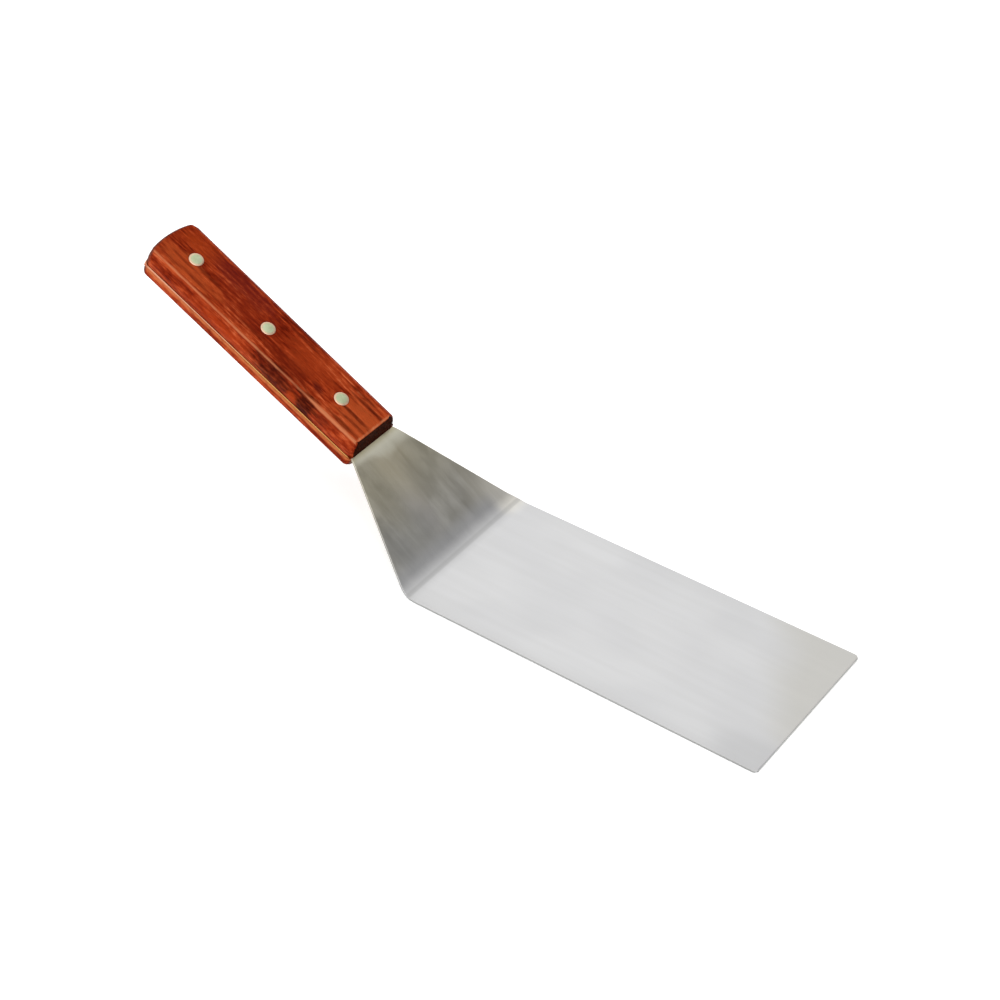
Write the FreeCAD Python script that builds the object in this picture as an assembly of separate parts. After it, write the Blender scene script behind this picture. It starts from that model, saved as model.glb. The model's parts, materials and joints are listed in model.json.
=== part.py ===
import FreeCAD, Part
import math
import os

# Grill spatula: a flat stainless blade, a raised neck and a full tang, all bent from one
# sheet, held between two wooden scales by three two-piece compression rivets.
# Millimetres. +X points to the blade's front edge and +Z up. The origin is the centre of
# the blade's underside, which is the face that the spatula stands on.
# Handle pieces are drawn in the handle's own frame: x from the front of the wood to the
# butt, z square to the tang, z = 0 in the middle of the tang. They are placed at the end.

# Sheet
SHEET = 1.2
BLADE_LENGTH = 165.1
BLADE_WIDTH = 76.2
TIP_CORNER_RADIUS = 2.0
HEEL_CORNER_RADIUS = 14.0
NECK_LENGTH = 54.5
NECK_RISE_DEG = 36.6
HANDLE_RISE_DEG = 27.6
HEEL_BEND_RADIUS = 17.0
NECK_BEND_RADIUS = 28.0
TANG_LEAD = 2.6
NECK_EXIT_WIDTH = 26.8

# Handle outline and section
HANDLE_LENGTH = 122.5
HANDLE_WIDTH_FRONT = 28.5
HANDLE_WIDTH_BUTT = 29.7
SCALE_THICKNESS = 7.0
SCALE_LAND = 4.3
TOP_FLAT_FRONT = 22.5
TOP_FLAT_BUTT = 24.0
UPPER_FRONT_SETBACK = 2.6
LOWER_FRONT_SETBACK = 0.0
FRONT_CORNER_RADIUS = 3.0
BUTT_BOW = 2.5
BUTT_CORNER_RADIUS = 3.0
RIDGE_ROUNDING = 0.8
SHOULDER_ROUNDING = 2.6
FRONT_EDGE_ROUNDING = 0.6
BUTT_EDGE_ROUNDING = 1.8

# Rivets
RIVET_POSITIONS = {"front": 21.0, "middle": 63.7, "butt": 106.0}
HEAD_RADIUS = 3.3
HEAD_THICKNESS = 1.5
HEAD_CROWN = 0.25
SHANK_RADIUS = 2.2
PIN_RADIUS = 1.5
TANG_HOLE_RADIUS = 2.3
END_GAP = 0.6

# Construction: how far helper shapes reach past what they meet, and when two heights are equal
TANG_OVERLAP = 8.0
OUTLINE_TAIL = 4.0
TAIL_INSET = 1.0
CUT_MARGIN = 1.0
TOLERANCE = 0.01

Vector = FreeCAD.Vector
HALF_SHEET = SHEET / 2.0
FACE_HEIGHT = HALF_SHEET + SCALE_THICKNESS
SHOULDER_HEIGHT = HALF_SHEET + SCALE_LAND
NECK_RISE = math.radians(NECK_RISE_DEG)
HANDLE_RISE = math.radians(HANDLE_RISE_DEG)
HEEL_X = -BLADE_LENGTH / 2.0


def rounded_wire(corners):
    """Closed wire through (point, radius) corners, with an arc at each one that has a radius."""
    edges = []
    first = None
    last = None
    for index, (corner, radius) in enumerate(corners):
        before = corners[index - 1][0]
        after = corners[(index + 1) % len(corners)][0]
        start, middle, end = corner_arc(before, corner, after, radius)
        if last is not None:
            edges.append(Part.LineSegment(last, start).toShape())
        if radius > 0:
            edges.append(Part.Arc(start, middle, end).toShape())
        first = start if first is None else first
        last = end
    edges.append(Part.LineSegment(last, first).toShape())
    return Part.Wire(edges)


def corner_arc(before, corner, after, radius):
    """Start, middle and end of the tangent arc that rounds a corner."""
    back = (before - corner).normalize()
    ahead = (after - corner).normalize()
    half_angle = back.getAngle(ahead) / 2.0
    run = radius / math.tan(half_angle)
    inward = (back + ahead).normalize()
    centre_distance = radius / math.sin(half_angle)
    middle = corner + inward * (centre_distance - radius)
    return corner + back * run, middle, corner + ahead * run


def along(start, rise, distance):
    """Point in the XZ plane, a distance behind start along a line that rises at an angle."""
    return start + Vector(-math.cos(rise), 0, math.sin(rise)) * distance


def sheet_line(height):
    """Heel crease, neck crease and a point in the tang, on the sheet's surface at a height."""
    heel = Vector(HEEL_X, 0, 0)
    heel_shift = height * math.tan(NECK_RISE / 2.0)
    heel_crease = heel + Vector(heel_shift, 0, height)
    under_crease = along(heel, NECK_RISE, NECK_LENGTH)
    bisector = (NECK_RISE + HANDLE_RISE) / 2.0
    reach = height / math.cos((NECK_RISE - HANDLE_RISE) / 2.0)
    neck_crease = under_crease + Vector(math.sin(bisector), 0, math.cos(bisector)) * reach
    return heel_crease, neck_crease, along(neck_crease, HANDLE_RISE, TANG_LEAD + TANG_OVERLAP)


def handle_placement():
    """Placement of the handle's frame: its origin is where the wood starts, inside the tang."""
    _, crease, _ = sheet_line(HALF_SHEET)
    origin = along(crease, HANDLE_RISE, TANG_LEAD)
    x_axis = Vector(-math.cos(HANDLE_RISE), 0, math.sin(HANDLE_RISE))
    z_axis = Vector(math.sin(HANDLE_RISE), 0, math.cos(HANDLE_RISE))
    return FreeCAD.Placement(origin, FreeCAD.Rotation(x_axis, Vector(0, -1, 0), z_axis, "ZXY"))


def bent_strip():
    """The sheet's side profile with both bends, as wide as the blade."""
    under_heel, under_crease, under_end = sheet_line(0)
    top_heel, top_crease, top_end = sheet_line(SHEET)
    front = BLADE_LENGTH / 2.0
    profile = rounded_wire([
        (Vector(front, 0, 0), 0),
        (under_heel, HEEL_BEND_RADIUS + SHEET),
        (under_crease, NECK_BEND_RADIUS),
        (under_end, 0),
        (top_end, 0),
        (top_crease, NECK_BEND_RADIUS + SHEET),
        (top_heel, HEEL_BEND_RADIUS),
        (Vector(front, 0, SHEET), 0),
    ])
    profile.translate(Vector(0, -BLADE_WIDTH / 2.0, 0))
    return Part.Face(profile).extrude(Vector(0, BLADE_WIDTH, 0))


def blade_and_neck_outline():
    """Tall prism of the blade's and the neck's outline, seen from above."""
    half = BLADE_WIDTH / 2.0
    exit_half = NECK_EXIT_WIDTH / 2.0
    exit_x = handle_placement().Base.x
    front = BLADE_LENGTH / 2.0
    one_side = [
        (Vector(front, half, 0), TIP_CORNER_RADIUS),
        (Vector(HEEL_X, half, 0), HEEL_CORNER_RADIUS),
        (Vector(exit_x, exit_half, 0), 0),
        (Vector(exit_x - OUTLINE_TAIL, exit_half - TAIL_INSET, 0), 0),
    ]
    other_side = [(Vector(point.x, -point.y, 0), radius) for point, radius in reversed(one_side)]
    wire = rounded_wire(one_side + other_side)
    wire.translate(Vector(0, 0, -CUT_MARGIN))
    return Part.Face(wire).extrude(Vector(0, 0, NECK_LENGTH + 2 * CUT_MARGIN))


def handle_half_width(x):
    """Half the handle's width at the tang, which grows evenly towards the butt."""
    share = x / HANDLE_LENGTH
    return (HANDLE_WIDTH_FRONT + (HANDLE_WIDTH_BUTT - HANDLE_WIDTH_FRONT) * share) / 2.0


def handle_outline(height):
    """Closed handle outline at a height: straight front and sides, and a bowed butt."""
    shoulder = HANDLE_LENGTH - BUTT_BOW
    half_front = handle_half_width(0)
    half_butt = handle_half_width(shoulder)
    front_left = Vector(0, -half_front, height)
    front_right = Vector(0, half_front, height)
    butt_left = Vector(shoulder, -half_butt, height)
    butt_right = Vector(shoulder, half_butt, height)
    bow = Part.Arc(butt_left, Vector(HANDLE_LENGTH, 0, height), butt_right)
    return Part.Wire([
        Part.LineSegment(front_right, front_left).toShape(),
        Part.LineSegment(front_left, butt_left).toShape(),
        bow.toShape(),
        Part.LineSegment(butt_right, front_right).toShape(),
    ])


def is_upright(edge):
    """True for an edge that runs square to the tang."""
    run = edge.Vertexes[-1].Point - edge.Vertexes[0].Point
    return abs(run.z) > HALF_SHEET and math.hypot(run.x, run.y) < TOLERANCE


def handle_blank(height, thickness):
    """Flat slab of the handle's outline with its four corners rounded."""
    slab = Part.Face(handle_outline(height)).extrude(Vector(0, 0, thickness))
    front = [edge for edge in slab.Edges if is_upright(edge) and edge.BoundBox.XMin < TOLERANCE]
    slab = slab.makeFillet(FRONT_CORNER_RADIUS, front)
    middle = HANDLE_LENGTH / 2.0
    butt = [edge for edge in slab.Edges if is_upright(edge) and edge.BoundBox.XMin > middle]
    return slab.makeFillet(BUTT_CORNER_RADIUS, butt)


def rivet_bores(radius, low, high):
    """The three rivet holes between two heights."""
    return [Part.makeCylinder(radius, high - low, Vector(x, 0, low)) for x in RIVET_POSITIONS.values()]


def blade_and_tang():
    sheet = bent_strip().common(blade_and_neck_outline())
    tang = handle_blank(-HALF_SHEET, SHEET)
    tang = tang.cut(rivet_bores(TANG_HOLE_RADIUS, -SHEET, SHEET))
    tang.Placement = handle_placement()
    return sheet.fuse(tang).removeSplitter().Solids[0]


def scale_section(x):
    """Closed section of a scale above the tang at x."""
    half = handle_half_width(x)
    share = x / HANDLE_LENGTH
    flat = (TOP_FLAT_FRONT + (TOP_FLAT_BUTT - TOP_FLAT_FRONT) * share) / 2.0
    one_side = [(half, HALF_SHEET), (half, SHOULDER_HEIGHT), (flat, FACE_HEIGHT)]
    other_side = [(-y, z) for y, z in reversed(one_side)]
    points = [Vector(x, y, z) for y, z in one_side + other_side]
    return Part.makePolygon(points + points[:1])


def long_edges(shape, height):
    """The edges that run the length of the handle at a height."""
    return [
        edge for edge in shape.Edges
        if edge.BoundBox.XLength > HANDLE_LENGTH / 2.0 and abs(edge.BoundBox.ZMin - height) < TOLERANCE
    ]


def scale_bar():
    """Full-length bar with the scale's section and its ridges and shoulders rounded."""
    bar = Part.makeLoft([scale_section(0), scale_section(HANDLE_LENGTH)], True, True)
    bar = bar.makeFillet(RIDGE_ROUNDING, long_edges(bar, FACE_HEIGHT))
    return bar.makeFillet(SHOULDER_ROUNDING, long_edges(bar, SHOULDER_HEIGHT))


def rounded_blank():
    """The scale's slab with its outer edge rounded all the way round."""
    blank = handle_blank(HALF_SHEET, SCALE_THICKNESS)
    outer = [edge for edge in blank.Edges if edge.BoundBox.ZMin > FACE_HEIGHT - TOLERANCE]
    return blank.makeFillet(BUTT_EDGE_ROUNDING, outer)


def behind_front(setback):
    """Everything behind a front face that starts square to the tang and curves back to the top."""
    radius = (SCALE_THICKNESS ** 2 + setback ** 2) / (2.0 * setback)
    top_turn = math.asin((SCALE_THICKNESS + CUT_MARGIN) / radius)
    arc = []
    for turn in (0, top_turn / 2.0, top_turn):
        arc.append(Vector(radius * (1 - math.cos(turn)), 0, HALF_SHEET + radius * math.sin(turn)))
    start, middle, end = arc
    beyond = HANDLE_LENGTH + CUT_MARGIN
    corners = [end, Vector(beyond, 0, end.z), Vector(beyond, 0, 0), Vector(0, 0, 0), start]
    edges = [Part.LineSegment(a, b).toShape() for a, b in zip(corners, corners[1:])]
    wire = Part.Wire([Part.Arc(start, middle, end).toShape()] + edges)
    wire.translate(Vector(0, -HANDLE_WIDTH_BUTT, 0))
    return Part.Face(wire).extrude(Vector(0, 2 * HANDLE_WIDTH_BUTT, 0))


def front_top_edges(shape, setback):
    """The edges between a set back front face and the top of a scale."""
    return [
        edge for edge in shape.Edges
        if edge.BoundBox.XMax < setback + TOLERANCE
        and edge.BoundBox.ZMin > FACE_HEIGHT - TOLERANCE
    ]


def scale_in_handle(front_setback):
    """A scale above the tang. Without a setback its front is square, with the slab's rounded edge."""
    scale = scale_bar().common(rounded_blank()).Solids[0]
    if front_setback:
        scale = scale.common(behind_front(front_setback)).Solids[0]
        scale = scale.makeFillet(FRONT_EDGE_ROUNDING, front_top_edges(scale, front_setback))
    above = FACE_HEIGHT + CUT_MARGIN
    scale = scale.cut(rivet_bores(SHANK_RADIUS, 0, above))
    scale = scale.cut(rivet_bores(HEAD_RADIUS, FACE_HEIGHT - HEAD_THICKNESS, above))
    return scale.Solids[0]


def crowned_head():
    """Rivet head with a slight crown, its rim level with the wood."""
    base = Vector(0, 0, FACE_HEIGHT - HEAD_THICKNESS)
    disc = Part.makeCylinder(HEAD_RADIUS, HEAD_THICKNESS + HEAD_CROWN, base)
    ball_radius = (HEAD_RADIUS ** 2 + HEAD_CROWN ** 2) / (2.0 * HEAD_CROWN)
    ball = Part.makeSphere(ball_radius, Vector(0, 0, FACE_HEIGHT + HEAD_CROWN - ball_radius))
    return disc.common(ball)


def rivet_tube():
    """Tubular half: its head lies in the upper scale and its shank reaches through the tang."""
    head_base = FACE_HEIGHT - HEAD_THICKNESS
    low = -head_base + END_GAP
    shank = Part.makeCylinder(SHANK_RADIUS, head_base - low, Vector(0, 0, low))
    bore = Part.makeCylinder(PIN_RADIUS, head_base - low, Vector(0, 0, low))
    return crowned_head().fuse(shank.cut(bore)).removeSplitter().Solids[0]


def rivet_pin():
    """Pin half: its head lies in the lower scale and its pin is pressed into the tube."""
    head_base = FACE_HEIGHT - HEAD_THICKNESS
    pin = Part.makeCylinder(PIN_RADIUS, 2.0 * head_base - END_GAP, Vector(0, 0, -head_base))
    head = crowned_head().mirror(Vector(0, 0, 0), Vector(0, 0, 1))
    return head.fuse(pin).removeSplitter().Solids[0]


def in_place(shape, x=0.0):
    """A handle piece, slid along the handle by x, in the spatula's frame."""
    placed = shape.copy()
    placed.translate(Vector(x, 0, 0))
    return placed.transformed(handle_placement().toMatrix())


def all_pieces():
    """Every piece by the name of its node."""
    upper = scale_in_handle(UPPER_FRONT_SETBACK)
    lower = scale_in_handle(LOWER_FRONT_SETBACK).mirror(Vector(0, 0, 0), Vector(0, 0, 1))
    pieces = {
        "blade_and_tang": blade_and_tang(),
        "upper_scale": in_place(upper),
        "lower_scale": in_place(lower),
    }
    for place, x in RIVET_POSITIONS.items():
        pieces["rivet_tube_" + place] = in_place(rivet_tube(), x)
        pieces["rivet_pin_" + place] = in_place(rivet_pin(), x)
    return pieces


def main():
    os.makedirs("parts", exist_ok=True)
    for name, shape in all_pieces().items():
        shape.exportStep("parts/" + name + ".step")
        state = "valid" if shape.isValid() else "NOT VALID"
        print(name, shape.ShapeType, state, round(shape.Volume, 1), "mm3")


main()
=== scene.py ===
import json
import math

import bmesh
import bpy
from mathutils import Matrix, Vector


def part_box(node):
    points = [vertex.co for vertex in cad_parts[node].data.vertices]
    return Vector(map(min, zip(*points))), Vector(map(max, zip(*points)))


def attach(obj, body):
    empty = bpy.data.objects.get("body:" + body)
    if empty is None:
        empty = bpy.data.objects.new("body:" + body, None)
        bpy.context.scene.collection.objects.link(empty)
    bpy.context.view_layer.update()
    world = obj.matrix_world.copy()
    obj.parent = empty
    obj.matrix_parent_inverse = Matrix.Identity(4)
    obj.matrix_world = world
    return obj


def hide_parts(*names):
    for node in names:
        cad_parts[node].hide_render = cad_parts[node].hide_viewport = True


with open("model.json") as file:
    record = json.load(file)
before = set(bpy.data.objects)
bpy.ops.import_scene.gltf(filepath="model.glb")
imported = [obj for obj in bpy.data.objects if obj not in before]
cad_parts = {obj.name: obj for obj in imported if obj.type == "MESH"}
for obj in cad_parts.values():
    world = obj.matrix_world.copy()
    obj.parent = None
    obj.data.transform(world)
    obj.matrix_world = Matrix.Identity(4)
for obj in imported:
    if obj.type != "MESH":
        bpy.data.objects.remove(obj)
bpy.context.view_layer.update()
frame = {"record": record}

# The looks of the grill spatula. Lengths here are millimetres, and MM turns them into
# metres. The frame has its origin under the middle of the blade, +X towards the blade's
# front edge and +Z up. The handle has a frame of its own: x runs from the front of the
# wood to the butt, y is the same as outside and z is square to the tang.
MM = 0.001

# Sheet steel. The bend radii are those of the sheet's middle line.
SHEET = 1.2
HALF_SHEET = SHEET / 2
SHEET_EASE = 0.15
NECK_RISE = math.radians(36.6)
HEEL_BEND_RADIUS = 17.0 + HALF_SHEET
NECK_BEND_RADIUS = 28.0 + HALF_SHEET
TIP_CORNER_RADIUS = 2.0
HEEL_CORNER_RADIUS = 14.0
NECK_EXIT_HALF = 13.4
TANG_LEAD = 2.6
TANG_HOLE_RADIUS = 2.3
TANG_SPARE = 10.0
WAVE_HEIGHT = 0.07
WAVE_FADE = 30.0
LONG_WAVE_SHARE = 0.6

# Wooden scales. A pair of roundings is (at the sides, at the face).
HANDLE_LENGTH = 122.5
HALF_WIDTH_FRONT = 14.25
HALF_WIDTH_BUTT = 14.85
HALF_FLAT_FRONT = 11.25
HALF_FLAT_BUTT = 12.0
RIDGE_SPREAD = (HALF_FLAT_BUTT - HALF_FLAT_FRONT) / HANDLE_LENGTH
SCALE_THICKNESS = 7.0
SCALE_LAND = 4.3
FACE_HEIGHT = HALF_SHEET + SCALE_THICKNESS
UPPER_FRONT_SETBACK = 2.6
LOWER_FRONT_SETBACK = 0.0
BUTT_BOW = 2.5
SEAM_ROUNDING = 0.15
SHOULDER_ROUNDING = 2.6
RIDGE_ROUNDING = 0.8
UPPER_FRONT_ROUNDING = (3.0, 0.6)
LOWER_FRONT_ROUNDING = (3.0, 1.8)
BUTT_ROUNDING = (3.0, 1.8)

# Rivets
RIVET_POSITIONS = {"front": 21.0, "middle": 63.7, "butt": 106.0}
HEAD_RADIUS = 3.3
HEAD_THICKNESS = 1.5
HEAD_CROWN = 0.25
HEAD_BEVEL = 0.3
SHANK_RADIUS = 2.2
PIN_RADIUS = 1.5
PIN_CHAMFER = 0.3
END_GAP = 0.6
BORE_CLEARANCE = 0.06
CUT_MARGIN = 1.0

# Meshes: the distance in metres at which points merge, and the angle of a sharp edge
MERGE_DISTANCE = 1e-7
SHARP_ANGLE = 38

# Meshes: turns along an end's rounding, from its start to the end face
END_ANGLES = [math.radians(turn) for turn in range(0, 91, 15)]

# Meshes: a scale's steps along each rounded corner, columns across its level faces, and
# the sections between its rounded ends
SEAM_STEPS, SHOULDER_STEPS, RIDGE_STEPS = 2, 10, 8
SCALE_SIDE_POINTS = SEAM_STEPS + SHOULDER_STEPS + RIDGE_STEPS + 3
SCALE_COLUMNS = 14
BODY_START = 6.0
BODY_STEP = 4.0
BODY_LOOPS = 28
BODY_END = BODY_START + BODY_STEP * (BODY_LOOPS - 1)

# Meshes: the same for the sheet, with the turns round the blade's tip corners and the
# distances between sections
EASE_STEPS = 3
SHEET_SIDE_POINTS = 2 * (EASE_STEPS + 1)
SHEET_COLUMNS = 16
TIP_TURNS = range(24, 90, 6)
FLAT_STEP = 6.0
NECK_STEP = 3.0
BEND_STEP = 0.5
BEND_MARGIN = 3.0
WOOD_CORNER_RUN = 2.4
WOOD_CORNER_STEP = 0.3

# Meshes: segments round a rivet, and steps over its head's crown and bevel
LATHE_SEGMENTS = 72
CROWN_STEPS = 6
BEVEL_STEPS = 4

# Camera
CAMERA_AIM = (-88.6, 34.2, 0.0)
CAMERA_DISTANCE = 945.5
CAMERA_AZIMUTH = 37.34
CAMERA_ELEVATION = 39.59
CAMERA_ROLL = -1.09
CAMERA_LENS = 80.4
NEAR_CLIP = 10.0

# Floor and the white tent round it, with how much darker its dark part is
FLOOR_HALF = 6000.0
FLOOR_HEIGHT = -0.2
TENT_STRENGTH = 1.25
TENT_DARKENING = 1.0

BLADE_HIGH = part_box("blade_and_tang")[1] / MM
BLADE_FRONT = BLADE_HIGH.x
BLADE_HALF = BLADE_HIGH.y
GRIP = next(mount for mount in frame["record"]["mounts"] if mount["name"] == "grip")
HANDLE_AXIS = Vector(GRIP["axis"]).normalized()
HANDLE_NORMAL = Vector((HANDLE_AXIS.z, 0.0, -HANDLE_AXIS.x))
HANDLE_ORIGIN = Vector(GRIP["pos_m"]) / MM - HANDLE_AXIS * HANDLE_LENGTH / 2
ACROSS = Vector((0.0, 1.0, 0.0))


# ---------------------------------------------------------------- meshes

def in_handle(x, y, z):
    """Place of a point of the handle's frame."""
    return HANDLE_ORIGIN + HANDLE_AXIS * x + ACROSS * y + HANDLE_NORMAL * z


def new_object(name, points, faces):
    """Mesh object through points in millimetres, with its faces turned outwards."""
    mesh = bpy.data.meshes.new(name)
    mesh.from_pydata([point * MM for point in points], [], faces)
    work = bmesh.new()
    work.from_mesh(mesh)
    bmesh.ops.remove_doubles(work, verts=work.verts, dist=MERGE_DISTANCE)
    bmesh.ops.recalc_face_normals(work, faces=work.faces)
    work.to_mesh(mesh)
    work.free()
    piece = bpy.data.objects.new(name, mesh)
    bpy.context.scene.collection.objects.link(piece)
    return piece


def apply_modifiers(piece):
    """Turns a piece's modifiers into plain geometry."""
    bpy.context.view_layer.update()
    evaluated = piece.evaluated_get(bpy.context.evaluated_depsgraph_get())
    piece.data = bpy.data.meshes.new_from_object(evaluated)
    piece.modifiers.clear()


def cut_bores(piece, radius, low, high):
    """Cuts the three rivet bores between two heights of the handle's frame out of a piece."""
    for x in RIVET_POSITIONS.values():
        cutter = lathe("cutter", x, [(0, low), (radius, low), (radius, high), (0, high)])
        cut = piece.modifiers.new("bore", "BOOLEAN")
        cut.operation = "DIFFERENCE"
        cut.solver = "EXACT"
        cut.object = cutter
        apply_modifiers(piece)
        bpy.data.objects.remove(cutter)


def finish_piece(piece, material, replaced):
    """Shading that keeps flat faces flat, the material, and the piece's place in the row."""
    piece.data.materials.clear()
    piece.data.materials.append(material)
    piece.data.shade_smooth()
    piece.data.set_sharp_from_angle(angle=math.radians(SHARP_ANGLE))
    normals = piece.modifiers.new("normals", "WEIGHTED_NORMAL")
    normals.keep_sharp = True
    apply_modifiers(piece)
    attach(piece, "root")
    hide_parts(*replaced)


def skin(loops):
    """Faces between loops of equal length, which follow each other in one list of points."""
    size = len(loops[0])
    faces = []
    for row in range(len(loops) - 1):
        for column in range(size):
            after = (column + 1) % size
            faces.append((
                row * size + column,
                row * size + after,
                (row + 1) * size + after,
                (row + 1) * size + column,
            ))
    return faces


def rounded_corner(before, corner, after, radius, steps):
    """(y, z, normal y, normal z) along the arc that rounds a corner of an outline."""
    back = (Vector(before) - Vector(corner)).normalized()
    ahead = (Vector(after) - Vector(corner)).normalized()
    half = back.angle(ahead) / 2
    centre = Vector(corner) + (back + ahead).normalized() * radius / math.sin(half)
    start = Vector(corner) + back * radius / math.tan(half) - centre
    turn = math.pi - 2 * half
    sign = math.copysign(1.0, start.cross(ahead))
    points = []
    for step in range(steps + 1):
        normal = Matrix.Rotation(sign * turn * step / steps, 2) @ start.normalized()
        points.append((*(centre + normal * radius), *normal))
    return points


def outline_loop(corners, columns):
    """Points and normals of a section from ((y, z), radius, steps) corners.

    The corners run from the lower left one over the top to the lower right one, and the two
    level runs, along the top and the bottom, are split into columns.
    """
    arcs = []
    for index, (corner, radius, steps) in enumerate(corners):
        before = corners[index - 1][0]
        after = corners[(index + 1) % len(corners)][0]
        arcs.append(rounded_corner(before, corner, after, radius, steps))
    middle = len(arcs) // 2
    left = [point for arc in arcs[:middle] for point in arc]
    right = [point for arc in arcs[middle:] for point in arc]
    top = level_run(left[-1], right[0], columns)
    bottom = level_run(right[-1], left[0], columns)
    return left + top + right + bottom


def level_run(start, end, columns):
    """The points inside a straight run between two points, without its ends."""
    run = []
    for column in range(1, columns):
        share = column / columns
        run.append(tuple(a + (b - a) * share for a, b in zip(start, end)))
    return run


def end_caps(loop_size, side_size, columns, first_row, last_row):
    """Faces that close a skin at both ends: columns of quads with a patch at each side."""
    faces = []
    for row in (first_row, last_row):
        start = row * loop_size
        top = [start + side_size - 1 + k for k in range(columns + 1)]
        right_end = 2 * side_size + columns - 2
        bottom = [start + (right_end + k) % loop_size for k in range(columns + 1)][::-1]
        for k in range(columns):
            faces.append((top[k], top[k + 1], bottom[k + 1], bottom[k]))
        faces.append(tuple(range(start, start + side_size)))
        faces.append(tuple(range(top[-1], top[-1] + side_size)))
    return faces


def end_point(section_point, half, low, high, rounding, angle, end_at):
    """A section point moved inwards and along, where an end is rounded over.

    The angle is 0 where the rounding starts and a right angle where it meets the end face,
    which end_at gives as a distance inwards for a y and a z. The result is (along, y, z).
    """
    y, z, normal_y, normal_z = section_point
    side, face = rounding
    shrink = 1 - math.cos(angle)
    radius = side * normal_y ** 2 + face * normal_z ** 2
    y *= 1 - side * shrink / half
    if low == -high:
        z *= 1 - face * shrink / high
    else:
        z = low + (z - low) * (1 - face * shrink / (high - low))
    return end_at(y, z) + radius * (1 - math.sin(angle)), y, z


def share_of(x):
    """How far along the handle a place is, from 0 at its front to 1 at the butt."""
    return min(max(x / HANDLE_LENGTH, 0.0), 1.0)


def handle_half_width(x):
    """Half the handle's width, which grows towards the butt."""
    return HALF_WIDTH_FRONT + (HALF_WIDTH_BUTT - HALF_WIDTH_FRONT) * share_of(x)


def butt_inset(y):
    """How far the bowed butt lies in front of its furthest point."""
    radius = (HALF_WIDTH_BUTT ** 2 + BUTT_BOW ** 2) / (2 * BUTT_BOW)
    return radius - math.sqrt(radius ** 2 - y ** 2)


def butt_at(y, z):
    """The butt's end face for end_point: the same bow at every height."""
    return butt_inset(y)


def scale_section(x):
    """Section of the upper scale: seam edge, land, shoulder, chamfer, ridge and top."""
    half = handle_half_width(x)
    flat = HALF_FLAT_FRONT + (HALF_FLAT_BUTT - HALF_FLAT_FRONT) * share_of(x)
    left = [
        ((-half, HALF_SHEET), SEAM_ROUNDING, SEAM_STEPS),
        ((-half, HALF_SHEET + SCALE_LAND), SHOULDER_ROUNDING, SHOULDER_STEPS),
        ((-flat, FACE_HEIGHT), RIDGE_ROUNDING, RIDGE_STEPS),
    ]
    right = [((-y, z), radius, steps) for (y, z), radius, steps in reversed(left)]
    return outline_loop(left + right, SCALE_COLUMNS)


def wooden_scale(name, side, front_setback, front_rounding, material):
    """One scale. The side is 1 above the tang and -1 below it."""
    def front_at(y, z):
        """The front starts square to the tang and curves back by the setback at the top."""
        if not front_setback:
            return 0.0
        radius = (SCALE_THICKNESS ** 2 + front_setback ** 2) / (2 * front_setback)
        return radius - math.sqrt(radius ** 2 - (z - HALF_SHEET) ** 2)

    def rounded_end(x, half, rounding, angle, end_at):
        """One loop of a rounded end, with its places along the handle counted from that end."""
        return [
            end_point(point, half, HALF_SHEET, FACE_HEIGHT, rounding, angle, end_at)
            for point in scale_section(x)
        ]

    loops = []
    for angle in reversed(END_ANGLES):
        loops.append(rounded_end(0, HALF_WIDTH_FRONT, front_rounding, angle, front_at))
    for step in range(BODY_LOOPS):
        x = BODY_START + BODY_STEP * step
        loops.append([(x, y, z) for y, z, _, _ in scale_section(x)])
    for angle in END_ANGLES:
        rounded = rounded_end(HANDLE_LENGTH, HALF_WIDTH_BUTT, BUTT_ROUNDING, angle, butt_at)
        loops.append([(HANDLE_LENGTH - along, y, z) for along, y, z in rounded])
    caps = end_caps(len(loops[0]), SCALE_SIDE_POINTS, SCALE_COLUMNS, 0, len(loops) - 1)
    points = [in_handle(x, y, z * side) for loop in loops for x, y, z in loop]
    piece = new_object(name, points, skin(loops) + caps)
    above_face = side * (FACE_HEIGHT + CUT_MARGIN)
    head_base = side * (FACE_HEIGHT - HEAD_THICKNESS)
    cut_bores(piece, SHANK_RADIUS + BORE_CLEARANCE, *sorted((0, above_face)))
    cut_bores(piece, HEAD_RADIUS + BORE_CLEARANCE, *sorted((head_base, above_face)))
    finish_piece(piece, material, [name.replace("_look", "")])


# The sheet's middle line as (length, turn) runs from the blade's front edge backwards.
HEEL_CREASE = Vector((-BLADE_FRONT + HALF_SHEET * math.tan(NECK_RISE / 2), 0, HALF_SHEET))
NECK_CREASE = HANDLE_ORIGIN - HANDLE_AXIS * TANG_LEAD
NECK_TURN = math.atan2(HANDLE_AXIS.z, -HANDLE_AXIS.x) - NECK_RISE
HEEL_SETBACK = HEEL_BEND_RADIUS * math.tan(NECK_RISE / 2)
NECK_SETBACK = NECK_BEND_RADIUS * math.tan(-NECK_TURN / 2)
BLADE_RUN = BLADE_FRONT - HEEL_CREASE.x - HEEL_SETBACK
HEEL_ARC = HEEL_BEND_RADIUS * NECK_RISE
NECK_RUN = (NECK_CREASE - HEEL_CREASE).length - HEEL_SETBACK - NECK_SETBACK
NECK_ARC = NECK_BEND_RADIUS * -NECK_TURN
BEFORE_TANG = BLADE_RUN + HEEL_ARC + NECK_RUN + NECK_ARC
WOOD_START = BEFORE_TANG + TANG_LEAD - NECK_SETBACK
SHEET_RUNS = [
    (BLADE_RUN, 0.0),
    (HEEL_ARC, NECK_RISE),
    (NECK_RUN, 0.0),
    (NECK_ARC, NECK_TURN),
    (HANDLE_LENGTH + TANG_SPARE, 0.0),
]


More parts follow.
